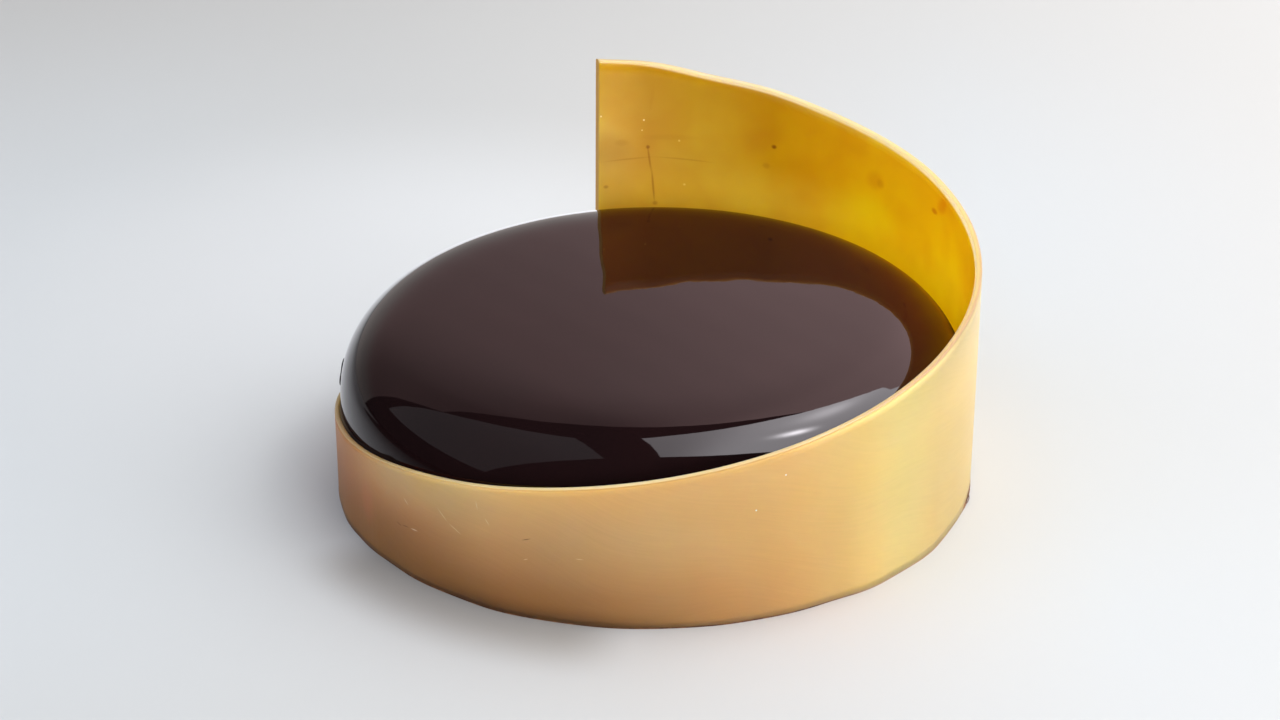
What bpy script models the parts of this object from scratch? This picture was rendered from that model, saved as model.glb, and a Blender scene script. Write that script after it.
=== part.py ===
"""A round mousse cake under a poured glaze, wrapped once in a tapering band of coloured chocolate.

The cake is a turned solid: a very shallow dome on top, a broad round shoulder and an upright side.
The band is a long right-angled triangle of thin chocolate, bent round that side. It is tallest at its
cut end behind the cake, falls in a straight line once round, and runs out to a low tail that stops
just short of its own tall end.

The origin is on the cake's axis at the base, +Z is up and -Y is the front. Sizes are in metres.
"""

import math

import bmesh
import bpy

# The cake.
CAKE_RADIUS = 0.0910        # an 18 cm ring with about a millimetre of glaze round it
CAKE_HEIGHT = 0.0543        # at the centre of the dome
DOME_RADIUS = 1.84          # the top is almost flat
SHOULDER_RADIUS = 0.0238    # how the top rolls over into the side
SHOULDER_EASING = 0.0041    # length over which the dome eases into the shoulder

# The band.
BAND_GAP = 0.0004           # between the cake's side and the band
BAND_TALL = 0.0941          # height of the cut end
BAND_TAIL = 0.0015          # height where the tail is broken off
BAND_THICK_TALL = 0.0025    # thickness at the cut end
BAND_THICK_TAIL = 0.0009    # thickness at the tail
BAND_LEAN = 0.005           # outward lean, in metres for each metre of height
BAND_EDGE = 0.35            # rounding of the rim, as a share of the thickness
BAND_END_ANGLE = math.radians(100.0)    # where the cut end stands, measured from +X towards +Y

# How finely the solids are faceted.
CAKE_SEGMENTS = 96
CAKE_TURN_STEP = math.radians(6.0)
BAND_SECTIONS = 140
RIM_STEPS = 2
RUN_STEP = 0.0002
MERGE_DISTANCE = 0.00001

GLAZE = {"name": "cocoa glaze", "colour": (0.020, 0.008, 0.007), "roughness": 0.05}
GOLDEN_CHOCOLATE = {"name": "golden chocolate", "colour": (0.72, 0.42, 0.13), "roughness": 0.42}


def clear_scene():
    """Remove whatever the scene holds."""
    for thing in list(bpy.data.objects):
        bpy.data.objects.remove(thing, do_unlink=True)


def make_material(look):
    """Return a Principled material with the look's colour and roughness."""
    material = bpy.data.materials.new(look["name"])
    material.use_nodes = True
    shader = material.node_tree.nodes["Principled BSDF"]
    shader.inputs["Base Color"].default_value = (*look["colour"], 1.0)
    shader.inputs["Roughness"].default_value = look["roughness"]
    shader.inputs["Metallic"].default_value = 0.0
    return material


def add_object(name, mesh, look):
    """Link a mesh to the scene as a named object with its own material."""
    mesh.materials.append(make_material(look))
    thing = bpy.data.objects.new(name, mesh)
    bpy.context.scene.collection.objects.link(thing)
    return thing


def slope_after(run, shoulder_run):
    """Return how far the surface has turned down, in radians, after a run out from the centre.

    The slope grows as run / DOME_RADIUS on the dome, and as the run past shoulder_run over
    SHOULDER_RADIUS on the shoulder. A softened ramp joins the two, and the side is upright.
    """
    past = (run - shoulder_run) / SHOULDER_EASING
    ramp = SHOULDER_EASING * math.log1p(math.exp(min(past, 50.0)))
    if past > 50.0:
        ramp = run - shoulder_run
    return min(run / DOME_RADIUS + ramp / SHOULDER_RADIUS, math.pi / 2)


def walk_profile(shoulder_run):
    """Walk from the top's centre to the upright side; return the (radius, height) points to keep."""
    radius = 0.0
    height = CAKE_HEIGHT
    run = 0.0
    slope = 0.0
    kept = [(radius, height)]
    next_turn = CAKE_TURN_STEP / 6
    while slope < math.pi / 2:
        slope = slope_after(run + RUN_STEP / 2, shoulder_run)
        radius += RUN_STEP * math.cos(slope)
        height -= RUN_STEP * math.sin(slope)
        run += RUN_STEP
        if slope >= next_turn:
            kept.append((radius, height))
            next_turn += CAKE_TURN_STEP
    kept.append((radius, height))
    return kept


def cake_profile():
    """Return the cake's outline from the top's centre, down the side and in along the base."""
    first_guess = CAKE_RADIUS - SHOULDER_RADIUS
    first_radius = walk_profile(first_guess)[-1][0]
    outline = walk_profile(first_guess + CAKE_RADIUS - first_radius)
    outline[-1] = (CAKE_RADIUS, outline[-1][1])
    return outline + [(CAKE_RADIUS, 0.0), (0.0, 0.0)]


def build_cake():
    """Turn the outline about the Z axis."""
    outline = cake_profile()
    mesh = bpy.data.meshes.new("mousse_cake")
    points = [(radius, 0.0, height) for radius, height in outline]
    edges = [(i, i + 1) for i in range(len(points) - 1)]
    mesh.from_pydata(points, edges, [])
    cake = add_object("mousse_cake", mesh, GLAZE)
    turn = cake.modifiers.new("Turn", "SCREW")
    turn.axis = "Z"
    turn.angle = 2 * math.pi
    turn.steps = CAKE_SEGMENTS
    turn.render_steps = CAKE_SEGMENTS
    turn.use_merge_vertices = True
    turn.merge_threshold = MERGE_DISTANCE
    turn.use_smooth_shade = True
    return cake


def band_share(height):
    """Return how far along the band, from 0 at the cut end to 1 a full turn on, it has a height."""
    return 1.0 - height / BAND_TALL


def band_section(share):
    """Return one cross-section as (distance out from the cake's axis, height) points.

    It runs up the outer face, over the rounded rim and down the inner face.
    """
    height = BAND_TALL * (1.0 - share)
    thickness = BAND_THICK_TALL + (BAND_THICK_TAIL - BAND_THICK_TALL) * share
    edge = BAND_EDGE * thickness
    flat = [(thickness, 0.0)]
    for centre, start in ((thickness - edge, 0.0), (edge, math.pi / 2)):
        for step in range(RIM_STEPS + 1):
            angle = start + step * math.pi / 2 / RIM_STEPS
            flat.append((centre + edge * math.cos(angle), height - edge + edge * math.sin(angle)))
    flat.append((0.0, 0.0))
    inner = CAKE_RADIUS + BAND_GAP
    return [(inner + out + BAND_LEAN * up, up) for out, up in flat]


def build_band():
    """Carry the cross-section round the cake, from the cut end clockwise to the tail."""
    last_share = band_share(BAND_TAIL)
    bm = bmesh.new()
    rings = []
    for step in range(BAND_SECTIONS + 1):
        share = last_share * step / BAND_SECTIONS
        angle = BAND_END_ANGLE - 2 * math.pi * share
        ring = [bm.verts.new((out * math.cos(angle), out * math.sin(angle), up))
                for out, up in band_section(share)]
        rings.append(ring)
    for here, there in zip(rings, rings[1:]):
        for i in range(len(here)):
            j = (i + 1) % len(here)
            bm.faces.new((here[i], here[j], there[j], there[i]))
    bm.faces.new(rings[0])
    bm.faces.new(rings[-1])
    bmesh.ops.recalc_face_normals(bm, faces=bm.faces)
    mesh = bpy.data.meshes.new("chocolate_band")
    bm.to_mesh(mesh)
    bm.free()
    mesh.shade_smooth()
    mesh.set_sharp_from_angle(angle=math.radians(50.0))
    return add_object("chocolate_band", mesh, GOLDEN_CHOCOLATE)


clear_scene()
build_cake()
build_band()
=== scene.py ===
# %% [markdown]
# # A glazed mousse cake in a golden chocolate band
#
# This lesson dresses a plain solid model of a cake. The real cake is a round of mousse that was frozen
# in a mould, turned out and flooded with a warm cocoa glaze, so its whole skin is one wet mirror. Round
# it goes a strip of coloured chocolate, spread thin on film, cut on the slant and bent round the side.
# Two things make the picture: how smoothly the glaze curves, because every ripple shows in what it
# mirrors, and how the gold of the band fades from bright to brown.

import bpy
import numpy as np
from mathutils import Matrix, Vector


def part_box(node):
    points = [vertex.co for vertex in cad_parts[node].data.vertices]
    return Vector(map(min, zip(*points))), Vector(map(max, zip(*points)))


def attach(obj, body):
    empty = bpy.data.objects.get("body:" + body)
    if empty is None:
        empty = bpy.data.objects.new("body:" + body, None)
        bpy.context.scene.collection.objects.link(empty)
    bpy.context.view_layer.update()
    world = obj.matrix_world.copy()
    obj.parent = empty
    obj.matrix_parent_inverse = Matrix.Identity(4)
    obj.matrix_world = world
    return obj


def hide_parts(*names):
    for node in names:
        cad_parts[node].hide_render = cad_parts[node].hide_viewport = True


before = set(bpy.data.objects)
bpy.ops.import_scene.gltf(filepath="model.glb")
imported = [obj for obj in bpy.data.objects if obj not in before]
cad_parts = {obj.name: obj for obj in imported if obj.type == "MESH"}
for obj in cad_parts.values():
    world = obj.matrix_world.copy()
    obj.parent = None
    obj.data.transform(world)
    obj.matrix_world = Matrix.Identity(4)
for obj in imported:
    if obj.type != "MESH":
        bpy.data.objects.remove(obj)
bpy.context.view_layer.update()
_, cake_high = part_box("mousse_cake")
_, band_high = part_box("chocolate_band")
CAKE_RADIUS = cake_high.x
CAKE_HEIGHT = cake_high.z
BAND_TALL = band_high.z
MM = 0.001
print("cake radius, cake height and band height in mm:",
      [round(size / MM, 2) for size in (CAKE_RADIUS, CAKE_HEIGHT, BAND_TALL)])

# %% [markdown]
# ## The camera
#
# The photograph was taken with a long lens from above, so the cake's ellipse is nearly the same width
# front and back. The lens, height and slight roll were worked out from the ellipse of the band's foot
# and from the band's upright outlines. A camera looks down its own -Z axis with +Y up, so its matrix is
# three unit vectors side by side. The camera could be turned by three angles instead, but the vectors
# say plainly what is right, what is up and what lies ahead.

# %% Camera
LENS_MM = 78.1
SENSOR_MM = 36.0
NEAREST_SEEN = 10.0 * MM
CAMERA_PLACE = Vector((-0.00385, -0.7259, 0.3886))
CAMERA_TILT = np.radians(26.02)
CAMERA_ROLL = np.radians(-0.554)

forward = Vector((0.0, np.cos(CAMERA_TILT), -np.sin(CAMERA_TILT)))
level_right = Vector((1.0, 0.0, 0.0))
level_up = Vector((0.0, np.sin(CAMERA_TILT), np.cos(CAMERA_TILT)))
right = np.cos(CAMERA_ROLL) * level_right + np.sin(CAMERA_ROLL) * level_up
up = np.cos(CAMERA_ROLL) * level_up - np.sin(CAMERA_ROLL) * level_right

camera_data = bpy.data.cameras.new("camera")
camera_data.lens = LENS_MM
camera_data.sensor_width = SENSOR_MM
camera_data.sensor_fit = "HORIZONTAL"
camera_data.clip_start = NEAREST_SEEN
camera = bpy.data.objects.new("camera", camera_data)
turn = Matrix((right, up, -forward)).transposed().to_4x4()
camera.matrix_world = Matrix.Translation(CAMERA_PLACE) @ turn
bpy.context.scene.collection.objects.link(camera)
bpy.context.scene.camera = camera
print("camera at", tuple(round(c, 3) for c in CAMERA_PLACE))

# %% [markdown]
# ## Small tools for shapes
#
# Every surface here is a grid of points worked out with numpy: rows along one direction, columns round
# the other. Blender's own primitives could be bent into these shapes, but a formula keeps each surface
# as fine as its mirror image needs. One helper lists the grid's faces, one makes the mesh, one sweeps a
# cross-section round the cake's axis, and one builds such a section from its parts.

# %% Helpers for shapes
def grid_faces(rows, columns, wrap):
    """Quads between neighbouring rows; with wrap the last column joins the first."""
    row = np.arange(rows - 1)[:, None]
    column = np.arange(columns if wrap else columns - 1)[None, :]
    after = (column + 1) % columns
    corners = (row * columns + column, row * columns + after,
               (row + 1) * columns + after, (row + 1) * columns + column)
    return np.stack(np.broadcast_arrays(*corners), axis=-1).reshape(-1, 4)


def mesh_object(name, points, quads, others=()):
    """A smooth-shaded mesh object from an array of points, an array of quads and lists of other faces."""
    mesh = bpy.data.meshes.new(name)
    faces = [tuple(face) for face in quads.tolist()] + [tuple(face) for face in others]
    mesh.from_pydata(points.reshape(-1, 3).tolist(), [], faces)
    mesh.update()
    mesh.shade_smooth()
    made = bpy.data.objects.new(name, mesh)
    bpy.context.scene.collection.objects.link(made)
    print(name, len(mesh.vertices), "points", len(mesh.polygons), "faces")
    return made


def swept_ring(name, reach, height, angle):
    """A closed solid swept round the upright axis, with one row of points for each angle.

    A point is (reach * cos(angle), reach * sin(angle), height). The last two faces close the ends.
    """
    reach, height, angle = np.broadcast_arrays(reach, height, angle)
    rows, columns = reach.shape
    points = np.stack([reach * np.cos(angle), reach * np.sin(angle), height], axis=-1)
    first_cap = list(range(columns))[::-1]
    last_cap = list(range((rows - 1) * columns, rows * columns))
    return mesh_object(name, points, grid_faces(rows, columns, wrap=True), [first_cap, last_cap])


def joined(*parts):
    """Parts of a section side by side. A part that is the same on every row is repeated down."""
    parts = [np.atleast_2d(part) for part in parts]
    rows = max(len(part) for part in parts)
    return np.concatenate([part + np.zeros((rows, 1)) for part in parts], axis=1)


print("a grid of 3 by 4 points has", len(grid_faces(3, 4, wrap=False)), "faces")

# %% [markdown]
# ## Small tools for finishes
#
# A shader needs linear colour numbers, while a painter writes sRGB hex, so one helper turns the second
# into the first. Another adds a shader node with its settings and links, and so every material below
# reads as a recipe. The third starts a material with its Principled shader alone.

# %% Helpers for finishes
def linear(colour):
    """An sRGB hex colour such as #C89A52 as linear red, green, blue and alpha."""
    coded = np.array([int(colour[i:i + 2], 16) for i in (1, 3, 5)]) / 255.0
    value = np.where(coded <= 0.04045, coded / 12.92, ((coded + 0.055) / 1.055) ** 2.4)
    return (*value.tolist(), 1.0)


def add_node(tree, kind, given=()):
    """Add a node. Each given name is a socket to link, a socket to set, or a setting of the node.

    A hex colour is turned to linear on its way to a socket. The name stops stands for all the stops of
    a colour ramp, in order, as (position, hex colour).
    """
    made = tree.nodes.new(kind)
    for name, value in dict(given).items():
        if isinstance(value, str) and value.startswith("#"):
            value = linear(value)
        if name == "stops":
            for _ in value[2:]:
                made.color_ramp.elements.new(0.5)
            for element, (position, colour) in zip(made.color_ramp.elements, value):
                element.position = position
                element.color = linear(colour)
        elif isinstance(value, bpy.types.NodeSocket):
            tree.links.new(value, made.inputs[name])
        elif isinstance(name, int) or name in made.inputs:
            made.inputs[name].default_value = value
        else:
            setattr(made, name, value)
    return made


def new_material(name):
    """A material with only its Principled shader; returns the material, its tree and the shader."""
    material = bpy.data.materials.new(name)
    material.use_nodes = True
    tree = material.node_tree
    return material, tree, tree.nodes["Principled BSDF"]


print("middle grey, #808080, is", round(linear("#808080")[0], 3), "in linear numbers")

# %% [markdown]
# ## The glaze
#
# A warm glaze runs off in seconds and sets about a millimetre thick, so the cake's skin is the mould's
# form with every corner melted round. It could be a lathed profile with a Bevel, but a bevel joins a
# flat to an arc, and a mirror shows that join as a kink. Here the profile is drawn by its slope instead:
# the slope grows slowly over the dome and then faster over the shoulder, and a soft ramp joins the two,
# so the curvature never jumps.

# %% Glaze profile
DOME_RADIUS = 1.84
SHOULDER_RADIUS = 23.8 * MM
SHOULDER_EASING = 4.1 * MM
WALK_STEPS = 4000


def walk_profile(shoulder_run):
    """Radius and height along the skin, from the top's centre to where it stands upright.

    slope = run / DOME_RADIUS + softened ramp(run - shoulder_run) / SHOULDER_RADIUS, up to a right angle;
    the radius sums the slope's cosine along the run, and the height falls by its sine.
    """
    run = np.linspace(0.0, CAKE_RADIUS + CAKE_HEIGHT, WALK_STEPS)
    step = run[1] - run[0]
    ramp = SHOULDER_EASING * np.logaddexp(0.0, (run - shoulder_run) / SHOULDER_EASING)
    slope = np.minimum(run / DOME_RADIUS + ramp / SHOULDER_RADIUS, np.pi / 2)
    middle = (slope[1:] + slope[:-1]) / 2
    radius = np.concatenate([[0.0], np.cumsum(np.cos(middle)) * step])
    height = CAKE_HEIGHT - np.concatenate([[0.0], np.cumsum(np.sin(middle)) * step])
    return radius, height


first_radius, _ = walk_profile(CAKE_RADIUS - SHOULDER_RADIUS)
skin_radius, skin_height = walk_profile(2 * CAKE_RADIUS - SHOULDER_RADIUS - first_radius.max())
above_base = skin_height > 0.0
skin_radius = np.append(skin_radius[above_base], CAKE_RADIUS)
skin_height = np.append(skin_height[above_base], 0.0)
print("skin runs", len(skin_radius), "steps to radius", round(skin_radius.max() / MM, 2), "mm")

# %% [markdown]
# A poured skin is never quite even. The unevenness is far too small to see as a shape, a twentieth of a
# millimetre, but the mirror bends with it. A bump in the shader could fake it, but real height in the
# mesh bends the reflections of the room in the same way from every side. It is a few slow sine waves and
# two finer ones, with a low swelling and a shallow dip where the pour ended.

# %% Unevenness of the glaze
# Each wave is its height in mm, its radians for each metre along x and along y, and its phase.
WAVES = [(0.05, 61.0, 23.0, 0.4), (0.04, -37.0, 71.0, 2.0), (0.02, 131.0, -47.0, 1.1),
         (0.006, 330.0, 260.0, 0.0), (0.005, -380.0, 210.0, 0.7)]
# Each spot is its height in mm and its place in metres.
POUR_SPOTS = [(0.05, -0.010, 0.024), (-0.03, 0.012, 0.026)]
SPOT_REACH = 12.0 * MM
GLAZE_SINK = 0.17 * MM


def glaze_unevenness(x, y):
    """Height in metres that the set glaze stands proud.

    The sum of height * sin(kx * x + ky * y + phase) over the waves, and of
    height * exp(-(distance / SPOT_REACH)^2) over the spots.
    """
    waves = sum(height * np.sin(kx * x + ky * y + phase) for height, kx, ky, phase in WAVES)
    spots = sum(height * np.exp(-((x - spot_x) ** 2 + (y - spot_y) ** 2) / SPOT_REACH ** 2)
                for height, spot_x, spot_y in POUR_SPOTS)
    return (waves + spots) * MM


print("unevenness at the centre in mm:", round(glaze_unevenness(0.0, 0.0) / MM, 3))

# %% [markdown]
# Now the profile is turned round the axis. The unevenness fades out over the shoulder, so the side stays
# a true round, and the whole top is sunk by what the waves and the swelling can add up to, so that none
# of it stands above the solid. Two fans of triangles close the grid at the top's centre and underneath.

# %% Glaze surface
PROFILE_POINTS = 260
TURNS = 360

kept = np.linspace(0.0, len(skin_radius) - 1.0, PROFILE_POINTS)[1:]
profile_radius = np.interp(kept, np.arange(len(skin_radius)), skin_radius)
profile_height = np.interp(kept, np.arange(len(skin_radius)), skin_height)
turn_angle = np.linspace(0.0, 2 * np.pi, TURNS, endpoint=False)
glaze_x = profile_radius[:, None] * np.cos(turn_angle)
glaze_y = profile_radius[:, None] * np.sin(turn_angle)
fade = np.clip((CAKE_RADIUS - profile_radius) / SHOULDER_RADIUS, 0.0, 1.0)[:, None]
glaze_z = profile_height[:, None] + (glaze_unevenness(glaze_x, glaze_y) - GLAZE_SINK) * fade
rings = np.stack([glaze_x, glaze_y, glaze_z], axis=-1)
top_point = [[0.0, 0.0, CAKE_HEIGHT + glaze_unevenness(0.0, 0.0) - GLAZE_SINK]]
base_point = [[0.0, 0.0, 0.0]]
points = np.concatenate([rings.reshape(-1, 3), top_point, base_point])
quads = grid_faces(PROFILE_POINTS - 1, TURNS, wrap=True)[:, ::-1]
top_index = len(points) - 2
base_index = len(points) - 1
last_ring = (PROFILE_POINTS - 2) * TURNS
top_fan = [(top_index, i, (i + 1) % TURNS) for i in range(TURNS)]
base_fan = [(base_index, last_ring + (i + 1) % TURNS, last_ring + i) for i in range(TURNS)]
glaze = mesh_object("cocoa_glaze", points, quads, top_fan + base_fan)

# %% [markdown]
# ## The glaze's finish
#
# Cocoa, sugar, gelatine and cream set to a clear dark gel, poured and not touched since. To the eye it
# is almost black, faintly red where light gets in, under a sharp reflection that grows towards the edge.
# A coat over a dull brown could give that too, but the gel has one skin, so one smooth, very dark
# Principled shader is the plainer way. Its colour drifts a little in patches as wide as a thumb, and
# its skin has pores, drawn 5 mm wide, coarser than the real ones, so that they show.

# %% Glaze material
MOTTLE_WIDTH = 22.22 * MM
PORE_WIDTH = 5.0 * MM
PORE_DEPTH = 0.012 * MM

glaze_material, tree, shader = new_material("poured cocoa glaze")
place = add_node(tree, "ShaderNodeTexCoord").outputs["Object"]
mottle = add_node(tree, "ShaderNodeTexNoise", {"Vector": place, "Scale": 1.0 / MOTTLE_WIDTH, "Detail": 2.0})
tone = add_node(tree, "ShaderNodeValToRGB", {"Fac": mottle.outputs["Fac"],
                                             "stops": [(0.0, "#130A0B"), (1.0, "#1C0D0E")]})
tree.links.new(tone.outputs["Color"], shader.inputs["Base Color"])
pores = add_node(tree, "ShaderNodeTexNoise", {"Vector": place, "Scale": 1.0 / PORE_WIDTH, "Detail": 1.0})
skin = add_node(tree, "ShaderNodeBump", {"Height": pores.outputs["Fac"], "Distance": PORE_DEPTH})
tree.links.new(skin.outputs["Normal"], shader.inputs["Normal"])
shader.inputs["Roughness"].default_value = 0.03
shader.inputs["IOR"].default_value = 1.5
glaze.data.materials.append(glaze_material)
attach(glaze, "root")
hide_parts("mousse_cake")
print("glaze finish:", glaze_material.name)

# %% [markdown]
# ## The chocolate band
#
# Tempered chocolate is spread on a strip of film, cut corner to corner while it is still soft, and
# wrapped round. That makes a long right-angled triangle: tall at one end, nothing at the other. A curve
# with an extrusion could not change its height, so the band is a cross-section carried round the cake.
# Each section has an outer face, a rounded rim and an inner face. The sizes come first.

# %% Band size
BAND_GAP = 0.4 * MM                     # the room between cake and band
BAND_TAIL = 1.5 * MM                    # the height where the tail is broken off
BAND_THICK_TALL = 2.5 * MM
BAND_THICK_TAIL = 0.9 * MM
BAND_LEAN = 0.005                       # outward lean for each metre of height
BAND_EDGE = 0.35                        # rounding of the rim, as a share of the thickness
BAND_END_ANGLE = np.radians(100.0)      # where the tall end stands, from +X towards +Y
FOOT_LIFT = 0.4 * MM                    # the band stands this high, on the glaze that ran under it


def band_thickness(share):
    """Thickness in metres, which falls evenly from the tall end to the tail."""
    return BAND_THICK_TALL + (BAND_THICK_TAIL - BAND_THICK_TALL) * share


print("half way round the band is", round(band_thickness(0.5) / MM, 2), "mm thick")

# %% [markdown]
# A hand-held knife doesn't cut a ruler's line. A noise could give the rim some waves, but the real ones
# are few and each has its place, so they are listed: how far round the strip, as a share of a turn
# from the tall end, and how high the knife strayed there, in mm.

# %% The knife's cut
KNIFE = [(0.0, -0.45), (0.01, 0.0), (0.03, 1.0), (0.06, -0.05), (0.092, 0.7), (0.125, 0.2), (0.145, 0.2),
         (0.165, 0.42), (0.2, 0.8), (0.24, 0.65), (0.3, 0.45), (0.36, 0.3), (0.4, 0.1), (0.52, 0.12),
         (0.58, 0.32), (0.61, 0.38), (0.655, 0.98), (0.69, 0.78), (0.71, 0.9), (0.73, 1.4), (0.76, 1.9),
         (0.785, 2.2), (0.82, 1.6), (0.88, 0.5), (0.94, 0.0), (1.0, 0.0)]
KNIFE_SPREAD = [-0.009, -0.0045, 0.0, 0.0045, 0.009]


def rim_wave(share):
    """Height in metres that the knife strayed, by share of a turn from the tall end.

    The points of KNIFE are joined by straight lines, and the line is averaged over a short stretch.
    """
    places, strays = zip(*KNIFE)
    return sum(np.interp(share + shift, places, strays) for shift in KNIFE_SPREAD) / len(KNIFE_SPREAD) * MM


def rim_height(share):
    """Height of the rim in metres: the straight cut, BAND_TALL * (1 - share), and the knife's waves."""
    return BAND_TALL * (1.0 - share) + rim_wave(share)


print("the rim is", round(rim_height(0.5) / MM, 1), "mm high half way round")

# %% [markdown]
# The strip isn't quite round. It was pressed to the cake a few fingers' width at a time, which left flats
# with soft corners between them. At the foot the corners stand proud, and higher up they fade. Only the
# outer face shows them. Each is listed: the angle of a corner in degrees, how proud it stands, and how
# deep the flat after it lies in its middle, both in millimetres.

# %% Flats of the band
FLATS = [(-180, 0.0, 0.2), (-171, 0.6, 0.2), (-157, 1.4, 0.6), (-149, 1.1, 0.65), (-135, 0.8, 0.6),
         (-118, 1.05, 0.4), (-97, 0.6, 0.15), (-88, 0.1, 0.2), (-81, 0.25, 0.35), (-65, 0.1, 0.9),
         (-52, 0.95, 0.65), (-36, 0.85, 0.5), (-20, 0.0, 0.3), (8, 0.0, 0.3), (30, 0.0, 0.3),
         (52, 0.0, 0.3), (75, 0.0, 0.3), (100, 0.0, 0.4), (124, 0.0, 0.5), (152, 0.0, 0.5),
         (180, 0.0, 0.0)]
CORNER_SPREAD = np.radians([-3.0, -1.5, 0.0, 1.5, 3.0])
FADE_HEIGHT = 20.0 * MM     # the height over which what fades falls to about a third
FADING_DEPTH = 0.7          # the share of a flat's depth that fades


def flat_depth(angle, height):
    """How far the outer face lies inside the full round, in metres, at an angle and a height.

    On a flat it is depth * (1 - t^2), with t from -1 to 1 across the flat, less how proud the corners
    stand, joined by a straight line; both are averaged over a few degrees to soften the corners. The
    proud part fades with height, and so does a share FADING_DEPTH of the depth.
    """
    corners, proud, depths = (np.array(numbers) for numbers in zip(*FLATS))
    sunk = 0.0
    raised = 0.0
    for shift in CORNER_SPREAD:
        turned = (np.degrees(angle + shift) + 180.0) % 360.0 - 180.0
        flat = np.clip(np.searchsorted(corners, turned, side="right") - 1, 0, len(corners) - 2)
        t = 2.0 * (turned - corners[flat]) / (corners[flat + 1] - corners[flat]) - 1.0
        sunk = sunk + depths[flat] * (1.0 - t ** 2) / len(CORNER_SPREAD)
        raised = raised + np.interp(turned, corners, proud) / len(CORNER_SPREAD)
    faded = np.exp(-height / FADE_HEIGHT)
    return (sunk * (1.0 - FADING_DEPTH + FADING_DEPTH * faded) - raised * faded) * MM


print("the foot at the front stands proud by", round(-float(flat_depth(-np.pi / 2, 0.0)) / MM, 2), "mm")

# %% [markdown]
# The section runs up the outer face, over the rim in two quarter rounds, and down the inner face. Every
# row of the grid is one such section, so height and thickness change from row to row by the same formula.

# %% Band sections
BAND_STEPS = 900
WALL_ROWS = 24
RIM_ROWS = 7

share = np.linspace(0.0, 1.0 - BAND_TAIL / BAND_TALL, BAND_STEPS)[:, None]
band_angle = BAND_END_ANGLE - 2 * np.pi * share
band_height = rim_height(share)
thickness = band_thickness(share)
edge = BAND_EDGE * thickness
wall = np.linspace(0.0, 1.0, WALL_ROWS)[None, :]
arc = np.linspace(0.0, np.pi / 2, RIM_ROWS)[None, :]
straight = band_height - edge - FOOT_LIFT
section_out = joined(thickness + 0 * wall, thickness - edge + edge * np.cos(arc),
                     edge - edge * np.sin(arc), 0 * wall)
section_up = joined(FOOT_LIFT + straight * wall, band_height - edge + edge * np.sin(arc),
                    band_height - edge + edge * np.cos(arc), FOOT_LIFT + straight * wall[:, ::-1])
outwards = section_out / thickness
print("sections:", section_out.shape[0], "rows of", section_out.shape[1], "points")

# %% [markdown]
# The tall end needs two corrections, because the knife came down on it a little askew: its inner edge
# lies farther round than its outer one, and the end leans sideways, more at the foot than at the top.
# Both fade out a short way along the strip.

# %% Band surface
CUT_SLANT = 0.55 * MM / CAKE_RADIUS         # angles, in radians
END_LEAN_TOP = 0.3 * MM / CAKE_RADIUS
END_LEAN_FOOT = 2.05 * MM / CAKE_RADIUS
CUT_REACH = 0.02                            # shares of a turn over which they fade
END_LEAN_REACH = 0.06

cut_slant = CUT_SLANT * (1.0 - outwards) * np.clip(1.0 - share / CUT_REACH, 0.0, 1.0)
end_lean = END_LEAN_FOOT + (END_LEAN_TOP - END_LEAN_FOOT) * section_up / BAND_TALL
end_lean = end_lean * np.clip(1.0 - share / END_LEAN_REACH, 0.0, 1.0) ** 2
section_angle = band_angle - cut_slant + end_lean
reach = CAKE_RADIUS + BAND_GAP + section_out + BAND_LEAN * section_up
reach = reach - outwards * flat_depth(band_angle, section_up)
band = swept_ring("golden_band", reach, section_up, section_angle)
tall_cap, tail_cap = list(band.data.polygons)[-2:]
tall_cap.use_smooth = False
tail_cap.use_smooth = False
tall_cap.material_index = 1

# %% [markdown]
# Paint and brush strokes have to follow the strip, not the room. A UV map could unroll it, but it would
# need a seam and a unit. Here each point keeps its place on the unrolled strip in metres: along it from
# the tall end, up it, and from the outer face (0) to the inner one (1). It also keeps how far it lies
# below the rim.

# %% Band coordinates
def keep(made, name, values, kind="FLOAT"):
    """Store a number for each point, or three with kind FLOAT_VECTOR, as a named attribute."""
    key = "vector" if kind == "FLOAT_VECTOR" else "value"
    attribute = made.data.attributes.new(name, kind, "POINT")
    attribute.data.foreach_set(key, values.astype(np.float32).ravel())


strip = np.stack([(BAND_END_ANGLE - section_angle) * CAKE_RADIUS, section_up, 1.0 - outwards], axis=-1)
keep(band, "strip", strip, "FLOAT_VECTOR")
keep(band, "below_rim", band_height - section_up)
print("the strip is", round(float(strip[..., 0].max()) / MM), "mm long")

# %% [markdown]
# ## The band's finish
#
# Coloured chocolate set on film is satin, not glossy. The outside was then brushed with gold lustre dust,
# so it shows faint slanting strokes; at the foot it is browner, which is painted shade. The inside
# has no dust: it is a deep yellow, and light from outside glows through it, because two millimetres of
# chocolate let some light pass. That glow is the shader's subsurface part. The cut rim is pale.
#
# Such a finish is painted in coats. One helper says where a coat lies, by the product of soft edges. One
# lays the coat, and one dabs small oval marks.

# %% Helpers for paint
def zone(tree, edges, strength=1.0):
    """How much a point belongs to a zone: the strength times the product of the zone's soft edges.

    An edge is (value, outside, inside). It is 0 where the value is outside, 1 where it is inside, and
    smooth between the two.
    """
    amount = strength
    for value, outside, inside in edges:
        edge = add_node(tree, "ShaderNodeMapRange", {"interpolation_type": "SMOOTHSTEP", "Value": value,
                                                     "From Min": outside, "From Max": inside})
        product = add_node(tree, "ShaderNodeMath", {"operation": "MULTIPLY", 0: amount,
                                                    1: edge.outputs["Result"]})
        amount = product.outputs[0]
    return amount


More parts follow.
